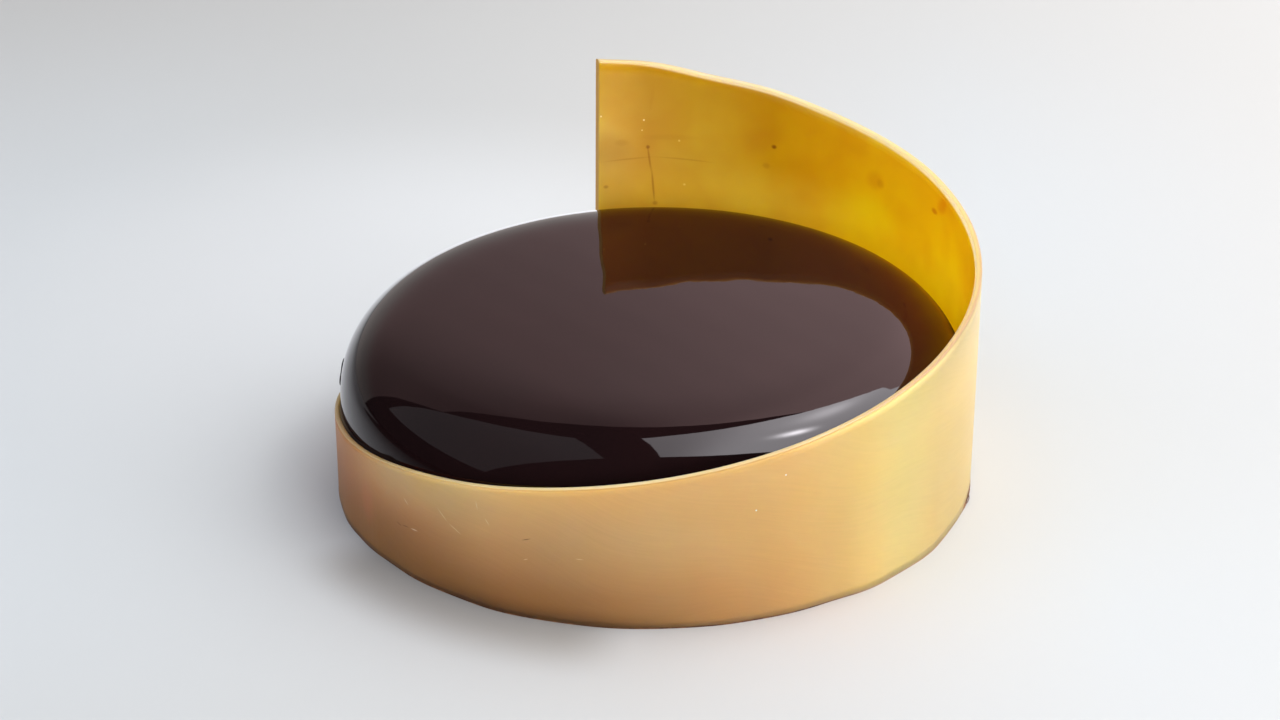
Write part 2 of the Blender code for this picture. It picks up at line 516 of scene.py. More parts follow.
def coat(tree, base, colour, edges=(), strength=1.0, blend="MIX"):
    """The base colour with a coat of another laid over it, or multiplied into it, inside a zone."""
    laid = add_node(tree, "ShaderNodeMix", {"data_type": "RGBA", "blend_type": blend,
                                            0: zone(tree, edges, strength), 6: base, 7: colour})
    return laid.outputs[2]


def dabbed(tree, base, place, marks):
    """A colour with soft oval marks: (along, up, half length, half width) in mm, degrees, share, colour.

    On a mark's own axes, measured in its half length and half width, a point's distance from the middle
    is 1 on the outline. The mark is full up to 0.25 and gone at 1.
    """
    for along, up, half_length, half_width, degrees, strength, colour in marks:
        local = add_node(tree, "ShaderNodeMapping", {
            "vector_type": "TEXTURE", "Vector": place, "Location": (along * MM, up * MM, 0.0),
            "Rotation": (0.0, 0.0, np.radians(degrees)), "Scale": (half_length * MM, half_width * MM, 1.0)})
        flat = add_node(tree, "ShaderNodeVectorMath", {"operation": "MULTIPLY", 0: local.outputs["Vector"],
                                                       1: (1.0, 1.0, 0.0)})
        distance = add_node(tree, "ShaderNodeVectorMath", {"operation": "LENGTH", 0: flat.outputs["Vector"]})
        base = coat(tree, base, colour, [(distance.outputs["Value"], 1.0, 0.25)], strength)
    return base


# %% [markdown]
# A finish starts by asking where it is. The Attribute node reads the numbers kept with the points, and
# Separate XYZ takes them apart. A second measure along the strip counts in turns, from 0 to 1, because a
# colour ramp runs over that range.

# %% Place on the strip
band_material, tree, shader = new_material("brushed golden chocolate")
strip_place = add_node(tree, "ShaderNodeAttribute", {"attribute_name": "strip"}).outputs["Vector"]
below_rim = add_node(tree, "ShaderNodeAttribute", {"attribute_name": "below_rim"}).outputs["Fac"]
axes = add_node(tree, "ShaderNodeSeparateXYZ", {0: strip_place})
strip_along, strip_up, inwards = (axes.outputs[name] for name in "XYZ")
turned = add_node(tree, "ShaderNodeMath", {"operation": "MULTIPLY", 0: strip_along,
                                           1: 1.0 / (2 * np.pi * CAKE_RADIUS)})
turn_share = turned.outputs[0]
print("one turn of the strip is", round(2 * np.pi * CAKE_RADIUS / MM), "mm")

# %% [markdown]
# A brush leaves strokes that lie across the strip on a slant and bend a little as the wrist turned, and
# the film leaves broad blotches. A stroke is a noise stretched along one direction. The wrist's bend is
# a slow noise that moves the place where the strokes are read. The strokes are drawn coarser than a
# brush's hairs, so that they show.

# %% Brush strokes
STROKE_LENGTH = 14.0 * MM
STROKE_WIDTH = 0.8 * MM
STROKE_INWARDS = 0.008      # of the way from face to face, so that each face has strokes of its own
STROKE_SLANT = np.radians(15.0)
WRIST_REACH = 40.0 * MM     # the stretch over which the wrist turns
WRIST_SWING = 22.0 * MM     # how far that moves a stroke up, at the most
BLOTCH_WIDTH = 22.0 * MM

wrist = add_node(tree, "ShaderNodeTexNoise", {"Vector": strip_place, "Scale": 1.0 / WRIST_REACH,
                                              "Detail": 0.0})
bent = add_node(tree, "ShaderNodeVectorMath", {"operation": "MULTIPLY", 0: wrist.outputs["Color"],
                                               1: (0.0, WRIST_SWING, 0.0)})
swung = add_node(tree, "ShaderNodeVectorMath", {"operation": "ADD", 0: strip_place,
                                                1: bent.outputs["Vector"]})
slanted = add_node(tree, "ShaderNodeMapping", {"vector_type": "TEXTURE", "Vector": swung.outputs["Vector"],
                                               "Rotation": (0.0, 0.0, STROKE_SLANT),
                                               "Scale": (STROKE_LENGTH, STROKE_WIDTH, STROKE_INWARDS)})
strokes = add_node(tree, "ShaderNodeTexNoise", {"Vector": slanted.outputs["Vector"], "Scale": 1.0,
                                                "Detail": 3.0, "Roughness": 0.6})
blotches = add_node(tree, "ShaderNodeTexNoise", {"Vector": strip_place, "Scale": 1.0 / BLOTCH_WIDTH,
                                                 "Detail": 2.0})
print("strokes", STROKE_LENGTH / MM, "mm long, blotches", BLOTCH_WIDTH / MM, "mm wide")

# %% [markdown]
# On the outside the gold is bright on the right and brown at the left and at the foot. That fade is
# partly the dust, thickest on the right, and partly painted light and shade: light where the window falls
# on the right, shade on the left that faces away from it. Two ramps along the strip, one for its middle
# height and one for the stretch under the rim, give that fade. The coats after them paint shade at the
# foot and a darker contact shade along the low left, and let the blotches and strokes show.

# %% Outside colour
# Painted light and shade: the ramps are yellow and bright on the right, where the window's light falls, and
# brown on the shaded left.
middle = add_node(tree, "ShaderNodeValToRGB", {"Fac": turn_share, "stops": [
    (0.371, "#CEAC6F"), (0.385, "#D8B778"), (0.402, "#DEBE7B"), (0.42, "#EBBC76"), (0.441, "#F4B26F"),
    (0.481, "#E9A76A"), (0.533, "#CFA26D"), (0.586, "#BF9062"), (0.612, "#DFA56D"), (0.644, "#C58A5D"),
    (0.682, "#B67E4E"), (0.72, "#AA6032")]})
upper = add_node(tree, "ShaderNodeValToRGB", {"Fac": turn_share, "stops": [
    (0.371, "#B6A070"), (0.402, "#CCBA7D"), (0.428, "#DAB474"), (0.458, "#EAAE76"), (0.507, "#D4A16E"),
    (0.56, "#DCA06B"), (0.586, "#E9A86F"), (0.612, "#F6B17A"), (0.644, "#F6B076"), (0.673, "#F6AC78"),
    (0.696, "#CC905E"), (0.72, "#AA6C38")]})
middle.color_ramp.interpolation = "B_SPLINE"
upper.color_ramp.interpolation = "B_SPLINE"
dust_light_and_shade = coat(tree, middle.outputs["Color"], upper.outputs["Color"], [(below_rim, 20.0 * MM, 0.0)])
# Painted shade at the foot: brown over the lowest 30 mm, fading in from 225 to 340 mm along the strip.
foot = [(strip_up, 30.0 * MM, 0.0), (strip_along, 225.0 * MM, 340.0 * MM)]
dust_light_and_shade = coat(tree, dust_light_and_shade, "#8F6235", foot)
# Painted contact shade: darker over the lowest 6 mm, between about 286 and 378 mm along the strip.
low_left_shade = [(strip_along, 286.0 * MM, 318.0 * MM), (strip_along, 378.0 * MM, 350.0 * MM),
          (strip_up, 6.0 * MM, 0.0)]
dust_light_and_shade = coat(tree, dust_light_and_shade, "#C8C7C1", low_left_shade, blend="MULTIPLY")
hue = add_node(tree, "ShaderNodeValToRGB", {"Fac": blotches.outputs["Fac"], "stops": [
    (0.35, "#FFFCF9"), (0.5, "#FFFFFF"), (0.65, "#FEFDF9")]})
dust_light_and_shade = coat(tree, dust_light_and_shade, hue.outputs["Color"], blend="MULTIPLY")
stroke_tone = add_node(tree, "ShaderNodeValToRGB", {"Fac": strokes.outputs["Fac"], "stops": [
    (0.3, "#FAFAF9"), (0.7, "#FFFFFF")]})
dust_light_and_shade = coat(tree, dust_light_and_shade, stroke_tone.outputs["Color"], blend="MULTIPLY")
print("the outside's coats make", len(tree.nodes), "nodes so far")

# %% [markdown]
# Fingers and the brush's edge left scratches and specks. A noise would scatter them anywhere, so each
# one is listed and dabbed: dark where the dust is scraped off, pale where it caught on a ridge. A last
# coat of painted shade darkens the stretch under the rim on the right, which would catch too much of the
# window's light.

# %% Marks on the outside
OUTSIDE_MARKS = [
    (396.0, 14.5, 5.0, 8.0, 0, 0.2, "#C87050"), (379.8, 14.7, 1.6, 0.22, 10, 0.6, "#5A3418"),
    (376.9, 15.2, 2.0, 0.22, -8, 0.6, "#5A3418"), (373.2, 15.6, 1.8, 0.25, -4, 0.55, "#FFE8C8"),
    (376.2, 23.2, 1.6, 0.2, 40, 0.5, "#FFE8C0"), (336.2, 24.0, 1.7, 0.22, -20, 0.7, "#5A3418"),
    (362.3, 24.2, 3.0, 0.22, 43, 0.35, "#FFE8C0"), (358.1, 21.3, 3.0, 0.22, 27, 0.35, "#FFE8C0"),
    (350.6, 30.8, 1.7, 0.2, 78, 0.35, "#FFE8C0"), (347.5, 26.7, 1.5, 0.2, 55, 0.35, "#FFE8C0"),
    (336.5, 17.9, 0.9, 0.18, -21, 0.35, "#FFE8C0"), (321.8, 20.3, 1.4, 0.18, 0, 0.3, "#FFE8C0"),
    (267.8, 42.8, 0.35, 0.35, 0, 0.9, "#FFFFFF"), (275.8, 33.7, 0.35, 0.35, 0, 0.9, "#FFFFFF")]
dust_light_and_shade = dabbed(tree, dust_light_and_shade, strip_place, OUTSIDE_MARKS)
rim_glare_shade = [(below_rim, 6.0 * MM, 0.0), (strip_along, 130.0 * MM, 170.0 * MM),
          (strip_along, 212.0 * MM, 198.0 * MM)]
dust_light_and_shade = coat(tree, dust_light_and_shade, "#E1E1E0", rim_glare_shade, blend="MULTIPLY")
print(len(OUTSIDE_MARKS), "marks on the outside")

# %% [markdown]
# The inside is tan near the free end and a deep yellow farther round. It has a painted shadow, a darker
# line just under the rim, and low down near the glaze it takes a warm glow of painted light.

# %% Inside colour
along_inside = zone(tree, [(strip_along, -30.0 * MM, 180.0 * MM)])
yellows = add_node(tree, "ShaderNodeValToRGB", {"Fac": along_inside, "stops": [
    (0.07, "#CEAB59"), (0.12, "#BD9940"), (0.2, "#C0A238"), (0.36, "#BB920E"), (0.46, "#CCA00C"),
    (0.62, "#E8C30C"), (0.77, "#EBB80A"), (0.86, "#F3C009"), (0.95, "#F7C80C")]})
deep = coat(tree, yellows.outputs["Color"], "#E8E2B8", [(below_rim, 34.0 * MM, 0.0)], blend="MULTIPLY")
# Painted shadow: a darker, greener line 1.8 to 4.6 mm under the rim.
shadow = coat(tree, "#F3EC30", "#F3FF34", [(strip_along, 35.0 * MM, 70.0 * MM)])
deep = coat(tree, deep, shadow, [(below_rim, 4.6 * MM, 1.8 * MM)], blend="MULTIPLY")
# Painted light: low down near the glaze the inside is paler and warmer, where light comes back off the
# glaze.
low_painted_glow = [(strip_up, 63.0 * MM, 46.0 * MM), (strip_along, 100.0 * MM, 50.0 * MM)]
deep = coat(tree, deep, "#E0C04A", low_painted_glow, strength=0.6)
glaze_painted_glow = [(strip_up, 58.0 * MM, 40.0 * MM), (strip_along, 55.0 * MM, 105.0 * MM)]
deep = coat(tree, deep, "#FFC418", glaze_painted_glow)
stain = add_node(tree, "ShaderNodeValToRGB", {"Fac": blotches.outputs["Fac"], "stops": [
    (0.3, "#F4E8D4"), (0.6, "#FFFFFF")]})
deep = coat(tree, deep, stain.outputs["Color"], blend="MULTIPLY")
print("the inside has", len(yellows.color_ramp.elements), "yellows along it")

# %% [markdown]
# The inside has its own marks: two broad patches of painted shade low at the tall end, a brown dent,
# stains where the film creased, fine hairlines, some upright and some level, and small bright specks.

# %% Marks on the inside
INSIDE_MARKS = [
    # The first two marks are painted shade, darker low at the tall end.
    (3.0, 64.0, 9.0, 8.0, 0, 0.3, "#8A6A2A"), (2.0, 56.0, 14.0, 18.0, 0, 0.4, "#AE883C"),
    (55.5, 67.3, 1.2, 1.0, 0, 0.9, "#641E00"),
    (51.5, 69.0, 9.0, 6.0, 30, 0.28, "#A06A10"), (54.0, 75.0, 6.0, 8.0, 0, 0.12, "#A06A10"),
    (15.2, 64.3, 0.9, 0.9, 0, 0.6, "#6A3010"), (15.6, 60.4, 6.0, 0.5, -83, 0.45, "#7A3A10"),
    (16.7, 51.4, 7.5, 0.5, -86, 0.5, "#7A3A10"), (17.3, 45.2, 1.2, 1.0, 0, 0.35, "#7A3A10"),
    (9.0, 60.4, 10.0, 0.4, 4, 0.3, "#8A5A18"), (26.5, 60.3, 12.0, 0.4, -4, 0.3, "#8A5A18"),
    (22.0, 67.6, 12.0, 1.4, 0, 0.12, "#8A5A18"), (7.0, 66.0, 3.0, 1.6, 0, 0.18, "#8A5A18"),
    (126.5, 68.2, 5.0, 3.0, 40, 0.45, "#C07000"), (121.9, 64.9, 2.4, 1.3, 0, 0.6, "#A85400"),
    (92.7, 64.9, 5.0, 4.4, 20, 0.3, "#B07000"), (95.0, 64.4, 2.2, 2.0, 0, 0.2, "#8A5000"),
    (86.0, 73.0, 5.0, 3.0, 0, 0.12, "#A87A00"), (53.0, 60.6, 1.8, 1.4, 0, 0.3, "#8A5A10"),
    (1.8, 51.3, 1.1, 0.8, 0, 0.5, "#7A4A18"), (16.6, 81.0, 0.9, 6.0, -8, 0.2, "#A07020"),
    (129.7, 56.0, 5.0, 11.0, 0, 0.14, "#C88400"), (119.0, 50.0, 4.0, 9.0, 0, 0.12, "#C88400"),
    (14.0, 73.4, 0.4, 0.4, 0, 0.7, "#FFFFE0"), (13.4, 70.0, 0.3, 0.3, 0, 0.6, "#FFF8C0"),
    (25.0, 66.5, 0.5, 0.5, 0, 0.4, "#F0E090"), (26.6, 51.7, 0.6, 0.5, 0, 0.4, "#F0E090"),
    (0.6, 75.2, 0.4, 0.4, 0, 0.7, "#FFF0D0")]
deep = dabbed(tree, deep, strip_place, INSIDE_MARKS)
print(len(INSIDE_MARKS), "marks on the inside")

# %% [markdown]
# The trimmed rim is bare pale chocolate. It shows as a broad edge inside, most of all where the strip
# turns to the front, and as a thin line outside, where dust clings to the rounded edge below it. That
# rounded edge is also darker, with painted shade. So the pale coat reaches down by a width that grows
# along the strip and from the outer face to the inner one.

# %% Rim
RIM_OUTSIDE = 0.35 * MM     # how far down the pale coat reaches on the outer face
RIM_AT_END = 1.05 * MM      # and on the inner face, at the tall end
RIM_AT_BACK = 1.7 * MM      # a little farther round
RIM_AT_RIGHT = 2.1 * MM     # and on the right
RIM_FULL = 0.55             # the coat is full down to this share of its reach

faces = coat(tree, dust_light_and_shade, deep, [(inwards, 0.55, 0.98)])
# Painted shade on the outer rounded edge, 0.4 to 0.9 mm under the rim.
edge_dust_and_shade = [(below_rim, 0.9 * MM, 0.4 * MM), (inwards, 0.5, 0.3)]
faces = coat(tree, faces, "#EDE8E2", edge_dust_and_shade, blend="MULTIPLY")
rim_back = add_node(tree, "ShaderNodeMapRange", {"interpolation_type": "SMOOTHSTEP", "Value": strip_along,
                                                 "From Min": 6.0 * MM, "From Max": 24.0 * MM,
                                                 "To Min": RIM_AT_END, "To Max": RIM_AT_BACK})
rim_right = add_node(tree, "ShaderNodeMapRange", {"interpolation_type": "SMOOTHSTEP", "Value": strip_along,
                                                  "From Min": 80.0 * MM, "From Max": 145.0 * MM,
                                                  "To Min": rim_back.outputs["Result"],
                                                  "To Max": RIM_AT_RIGHT})
rim_reach = add_node(tree, "ShaderNodeMapRange", {"Value": inwards, "From Min": 0.3, "From Max": 0.7,
                                                  "To Min": RIM_OUTSIDE,
                                                  "To Max": rim_right.outputs["Result"]})
rim_start = add_node(tree, "ShaderNodeMath", {"operation": "MULTIPLY", 0: rim_reach.outputs["Result"],
                                              1: RIM_FULL})
pale = add_node(tree, "ShaderNodeValToRGB", {"Fac": turn_share, "stops": [
    (0.0, "#C8A97F"), (0.08, "#C8B297"), (0.18, "#C8B48A"), (0.28, "#C3AA7A"), (0.38, "#C2A27C"),
    (0.46, "#DCB187"), (0.55, "#E0B790"), (0.62, "#DCAF80"), (0.68, "#CC9C6C"), (0.73, "#B08C68"),
    (0.8, "#9A8868")]})
# On the right the rim's outer half is toned pinkish grey, and its inner edge is pale bare chocolate
# brightened by a painted highlight of pinkish cream.
on_right = [(strip_along, 60.0 * MM, 150.0 * MM), (strip_along, 260.0 * MM, 225.0 * MM)]
rim_colour = coat(tree, pale.outputs["Color"], "#D4C6CE", [*on_right, (inwards, 0.5, 0.1)],
                  blend="MULTIPLY")
rim_colour = coat(tree, rim_colour, "#F0D0BC", [*on_right, (inwards, 0.75, 1.0)])
faces = coat(tree, faces, rim_colour, [(below_rim, rim_reach.outputs["Result"], rim_start.outputs[0])])
print("the rim is pale for", RIM_AT_END / MM, "to", RIM_AT_RIGHT / MM, "mm inside")

# %% [markdown]
# In the glaze's mirror the gold looks browner, because part of that light crosses the cocoa gel. The
# Light Path node tells a mirrored ray from a direct one. The dust has a little metal in it, on the
# outside alone. The satin comes from a middling roughness, and the strokes stand up by a hundredth of a
# millimetre.

# %% Band finish
STROKE_HEIGHT = 0.01 * MM
GLOW_DEPTH = 10.0 * MM

mirrored = add_node(tree, "ShaderNodeLightPath").outputs["Is Glossy Ray"]
gel = coat(tree, "#C8C038", "#D49C5C", [(strip_up, 44.0 * MM, 64.0 * MM)])
gel = coat(tree, "#38200F", gel, [(strip_up, 35.0 * MM, 42.0 * MM)])
faces = coat(tree, faces, gel, strength=mirrored, blend="MULTIPLY")
tree.links.new(faces, shader.inputs["Base Color"])
dust = zone(tree, [(inwards, 0.6, 0.3), (strip_along, 340.0 * MM, 260.0 * MM)], strength=0.3)
tree.links.new(dust, shader.inputs["Metallic"])
shader.inputs["Roughness"].default_value = 0.42
shader.inputs["IOR"].default_value = 1.46
shader.inputs["Subsurface Weight"].default_value = 1.0
shader.inputs["Subsurface Radius"].default_value = (1.0, 0.85, 0.4)
shader.inputs["Subsurface Scale"].default_value = GLOW_DEPTH
relief = add_node(tree, "ShaderNodeBump", {"Height": strokes.outputs["Fac"], "Distance": STROKE_HEIGHT,
                                           "Strength": 0.5})
tree.links.new(relief.outputs["Normal"], shader.inputs["Normal"])
band.data.materials.append(band_material)
print("the band's finish has", len(tree.nodes), "nodes")

# %% [markdown]
# The knife's cut at the tall end is bare brown chocolate, cut rather than set on film, so it is duller
# than the faces. It is one narrow face, and its colour is the same all over.

# %% Cut end
cut_material, tree, shader = new_material("cut chocolate")
shader.inputs["Base Color"].default_value = linear("#D09A3C")
shader.inputs["Roughness"].default_value = 0.6
band.data.materials.append(cut_material)
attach(band, "root")
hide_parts("chocolate_band")
print("the band has", len(band.data.materials), "materials")

# %% [markdown]
# ## Where the glaze ran
#
# A little glaze ran down between cake and band before it set. It fills the gap up to the shoulder, so the
# cake meets the band in a dark line. It could be a fluid simulation, but the result is only a thin
# ring, so its section is swept round like the band's. Its top climbs from the band to the cake's skin,
# and at the far left, where the band is low, it thins out to a brown film.

# %% Glaze in the gap
RUN_STEPS = 720
RUN_FROM = 0.002                # where the ring starts and ends, as shares of a turn
RUN_TO = 0.975
SHOULDER_START = 31.0 * MM      # the gap is filled up to here,
BELOW_RIM = 0.3 * MM            # or up to this far under the rim, where that is lower
GAP_WAVE = 0.6 * MM             # how much the filled height wavers
GAP_FOOT = 1.0 * MM             # the height of the ring's underside
OFF_THE_BAND = 0.03 * MM        # the ring stays this far off the band,
INTO_THE_CAKE = 0.05 * MM       # and reaches this far into the cake's skin,
DEEPER = 0.25 * MM              # or this much farther where it is full
CLIMB = 1.25 * MM               # how much higher it stands at the cake than at the band
CLIMB_FROM = 2.0 * MM           # the climb starts where the rim has this height,
CLIMB_OVER = 6.0 * MM           # and is full where the rim is this much higher
FULL_UNTIL = 0.70               # it is full up to this share of a turn,
GONE_AFTER = 0.75               # and lies flat from here on
THIN_FROM = 0.722               # the film turns brown from here,
THIN_OVER = 0.03                # over this share

run_share = np.linspace(RUN_FROM, RUN_TO, RUN_STEPS)[:, None]
run_angle = BAND_END_ANGLE - 2 * np.pi * run_share
run_rim = rim_height(run_share)
full = np.clip((GONE_AFTER - run_share) / (GONE_AFTER - FULL_UNTIL), 0.0, 1.0)
gap_top = np.minimum(run_rim - BELOW_RIM, SHOULDER_START + GAP_WAVE * np.sin(9.0 * run_angle))
climb = CLIMB * np.clip((run_rim - CLIMB_FROM) / CLIMB_OVER, 0.0, 1.0) * full
gap_foot = CAKE_RADIUS + BAND_GAP - OFF_THE_BAND
gap_outer = gap_foot + BAND_LEAN * gap_top
gap_inner = CAKE_RADIUS - INTO_THE_CAKE - DEEPER * full
inward = np.linspace(0.0, 1.0, 7)[None, :]
gap_reach = joined(gap_foot, gap_outer + (gap_inner - gap_outer) * inward, gap_inner)
gap_height = joined(GAP_FOOT, gap_top + climb * inward ** 1.5, GAP_FOOT)
gap_ring = swept_ring("glaze_in_gap", gap_reach, gap_height, run_angle)
gap_thinness = np.clip((run_share - THIN_FROM) / THIN_OVER, 0.0, 1.0)
keep(gap_ring, "thinness", np.broadcast_to(gap_thinness, gap_reach.shape))

# %% [markdown]
# Some glaze squeezed out underneath, as a fine line round the foot: dark at the front, pale and thin on
# the right, with one thick smear there that has a lower hump beside it. The dark at the front is partly
# thick glaze and partly painted contact shade under the band. Its section is a half round that bulges
# out as far as the band's face and follows the band's flats. Only the smear goes farther.

# %% Foot line
SMEAR_ANGLE = np.radians(-14.6)
SMEAR_HALF = np.radians(4.8)
SMEAR_OUT = 0.25 * MM                   # how far the smear stands out
SMEAR_TALL = 0.7 * MM                   # and how far up
HUMP_SHARE = 0.3                        # the hump's height, as a share of the smear's
HUMP_PLACE = 1.5                        # and its place, in half smears from the smear's middle
FOOT_TUCK = 0.12 * MM                   # the half round starts this far behind the band's face
FOOT_BULGE = 0.12 * MM                  # and bulges out by this much
FOOT_WAVE = 0.05 * MM                   # how much the line wavers
FOOT_TOP = FOOT_LIFT + 0.05 * MM        # its top, which the band presses on
FOOT_DEPTH = 1.0 * MM                   # the top is level from this far in
FOOT_INNER = CAKE_RADIUS + 0.05 * MM    # the line's inner side, under the band
DARK_UNDER = -62.0                      # degrees: the line is dark up to here,
PALE_OVER = 12.0                        # and pale so many degrees farther on

from_smear = (run_angle - SMEAR_ANGLE) / SMEAR_HALF
smear = np.exp(-from_smear ** 4) + HUMP_SHARE * np.exp(-(from_smear - HUMP_PLACE) ** 4)
lumps = smear * (1.0 + 0.3 * np.sin(140.0 * run_angle) * np.sin(57.0 * run_angle))
foot_wave = FOOT_WAVE * np.sin(5.0 * run_angle + 1.0) * np.sin(13.0 * run_angle)
foot_out = CAKE_RADIUS + BAND_GAP + band_thickness(run_share) - flat_depth(run_angle, 0.0)
foot_out = foot_out + foot_wave - FOOT_TUCK + SMEAR_OUT * lumps
foot_tall = FOOT_TOP + SMEAR_TALL * lumps
bulge = np.linspace(0.0, np.pi, 8)[None, :]
foot_reach = joined(foot_out + FOOT_BULGE * np.sin(bulge), foot_out - FOOT_DEPTH, FOOT_INNER, FOOT_INNER)
foot_height = joined(foot_tall * (1 - np.cos(bulge)) / 2, FOOT_TOP, FOOT_TOP, 0.0)
foot_line = swept_ring("glaze_at_foot", foot_reach, foot_height, run_angle)
# The foot line is dark up to DARK_UNDER degrees, partly as painted contact shade, and pale past it, where it
# is thin.
past_front = np.clip((np.degrees(run_angle) - DARK_UNDER) / PALE_OVER, 0.0, 1.0)
foot_paleness = np.clip(1.0 - smear, 0.0, 1.0) * past_front
keep(foot_line, "thinness", np.broadcast_to(foot_paleness, foot_reach.shape))

# %% [markdown]
# A thin curl of glaze springs from the smear, bows outwards and joins it again. It is a round thread that
# gets thinner to its end. A curve with a bevel would do, but the sweep is at hand.

# %% Strand beside the smear
STRAND_THICK = 0.13 * MM    # half its thickness at the start
STRAND_BOW = 0.5 * MM       # how far it bows outwards
STRAND_RISE = 0.3 * MM      # its height at the start; it doubles towards the end
STRAND_FROM = 1.4           # degrees from the smear's middle
STRAND_TURN = 4.2           # degrees that it runs

strand_share = np.linspace(0.0, 1.0, 24)[:, None]
strand_round = np.linspace(0.0, 2 * np.pi, 6, endpoint=False)[None, :]
strand_angle = SMEAR_ANGLE + np.radians(STRAND_FROM - STRAND_TURN * strand_share)
strand_thick = STRAND_THICK * (1.0 - 0.5 * strand_share)
strand_start = foot_out[np.argmin(np.abs(run_angle - SMEAR_ANGLE))]
strand_middle = strand_start + STRAND_BOW * np.sin(np.pi * strand_share) ** 0.7
strand_height = STRAND_RISE * (1.0 + strand_share)
strand = swept_ring("glaze_strand", strand_middle + strand_thick * np.cos(strand_round),
                    strand_height + strand_thick * np.sin(strand_round), strand_angle)

# %% [markdown]
# On the left a thin ridge of glaze set where the side rolls over into the top. It too is a round thread,
# thickest near its two ends, that runs up the skin on a slant.

# %% Ridge on the left
RIDGE_LOW = 30.5 * MM       # the height of its low end
RIDGE_CLIMB = 4.4 * MM      # how much higher its other end lies
RIDGE_FROM = 184.5          # degrees at the low end
RIDGE_TURN = 5.8            # degrees that it runs, towards the back

ridge_share = np.linspace(0.0, 1.0, 30)[:, None]
ridge_round = np.linspace(0.0, 2 * np.pi, 8, endpoint=False)[None, :]
ridge_height = RIDGE_LOW + RIDGE_CLIMB * ridge_share
ridge_angle = np.radians(RIDGE_FROM - RIDGE_TURN * ridge_share)
ridge_arch = np.sin(np.pi * ridge_share)
ridge_thick = (0.02 + 0.38 * ridge_arch ** 0.4 - 0.18 * ridge_arch ** 4) * MM
ridge_middle = np.interp(ridge_height, skin_height[::-1], skin_radius[::-1])
ridge = swept_ring("glaze_ridge", ridge_middle + ridge_thick * np.cos(ridge_round), ridge_height,
                   ridge_angle + ridge_thick * np.sin(ridge_round) / CAKE_RADIUS)

# %% [markdown]
# Glaze that ran out thin dries in air and turns dull. To the eye it is brown and crusty where it lies
# thick, and pale where it is only a film. The paleness kept with each point mixes the two colours; at the
# foot, its dark part is also painted contact shade. In the gap it stays dark and hardly shines, because
# the band shades it.

# %% Material of the glaze that ran
CRUST_WIDTH = 3.0 * MM

run_material, tree, shader = new_material("set cocoa glaze, thin and dull")
place = add_node(tree, "ShaderNodeTexCoord").outputs["Object"]
thinness = add_node(tree, "ShaderNodeAttribute", {"attribute_name": "thinness"}).outputs["Fac"]
crust = add_node(tree, "ShaderNodeTexNoise", {"Vector": place, "Scale": 1.0 / CRUST_WIDTH})
brown = add_node(tree, "ShaderNodeValToRGB", {"Fac": crust.outputs["Fac"], "stops": [
    (0.4, "#5A3218"), (0.65, "#8A5A34")]})
run_colour = coat(tree, brown.outputs["Color"], "#B08A6A", strength=thinness)
tree.links.new(run_colour, shader.inputs["Base Color"])
shader.inputs["Roughness"].default_value = 0.55

gap_material, tree, shader = new_material("cocoa glaze run down into the gap")
thinness = add_node(tree, "ShaderNodeAttribute", {"attribute_name": "thinness"}).outputs["Fac"]
gap_colour = coat(tree, "#180A06", "#7A6448", strength=thinness)
tree.links.new(gap_colour, shader.inputs["Base Color"])
shader.inputs["Roughness"].default_value = 0.5
shader.inputs["Specular IOR Level"].default_value = 0.1

for piece, material in ((gap_ring, gap_material), (foot_line, run_material), (strand, run_material),
                        (ridge, gap_material)):
    piece.data.materials.append(material)
    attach(piece, "root")
    print(piece.name, "is", material.name)

# %% [markdown]
# ## The floor
#
# The cake stands on matt white paper. A plane is enough for it. Its colour carries painted light and
# shade: it is brighter behind the cake, and a little darker and warmer in front of it on the left, where
# the cake's shadow is painted. Soft coats of grey over a ramp from left to right say so, each with its
# edges in metres from the cake.

# %% Floor
FLOOR_HALF = 6.0
BRIGHT_PLACE = (-0.085, 0.13, 0.0)      # behind the cake, a little to the left
SHADE_ANGLE = np.radians(-124.0)        # in front of the cake, on the left
SHADE_HEADING = (np.cos(SHADE_ANGLE), np.sin(SHADE_ANGLE), 0.0)

floor_mesh = bpy.data.meshes.new("floor")
corners = [(-FLOOR_HALF, -FLOOR_HALF, 0.0), (FLOOR_HALF, -FLOOR_HALF, 0.0),
           (FLOOR_HALF, FLOOR_HALF, 0.0), (-FLOOR_HALF, FLOOR_HALF, 0.0)]
floor_mesh.from_pydata(corners, [], [(0, 1, 2, 3)])
floor = bpy.data.objects.new("floor", floor_mesh)
bpy.context.scene.collection.objects.link(floor)
floor_material, tree, shader = new_material("matt white paper")
shader.inputs["Roughness"].default_value = 0.6
place = add_node(tree, "ShaderNodeTexCoord").outputs["Object"]
axes = add_node(tree, "ShaderNodeSeparateXYZ", {0: place})
floor_x = axes.outputs["X"]
floor_y = axes.outputs["Y"]
# Painted light and shade: the ramp makes the paper cooler and brighter on the left, and the next coats tone
# it far behind and in front.
across = add_node(tree, "ShaderNodeMapRange", {"Value": floor_x, "From Min": -0.25, "From Max": 0.25})
whites = add_node(tree, "ShaderNodeValToRGB", {"Fac": across.outputs["Result"], "stops": [
    (0.1, "#D0D4D7"), (0.5, "#CBCBCA"), (0.75, "#C8CCCF"), (1.0, "#C6C6C5")]})
sheet = coat(tree, whites.outputs["Color"], "#C4C4C3", [(floor_y, 0.15, 0.5)])
sheet = coat(tree, sheet, "#C9CACA", [(floor_y, -0.06, -0.22)])
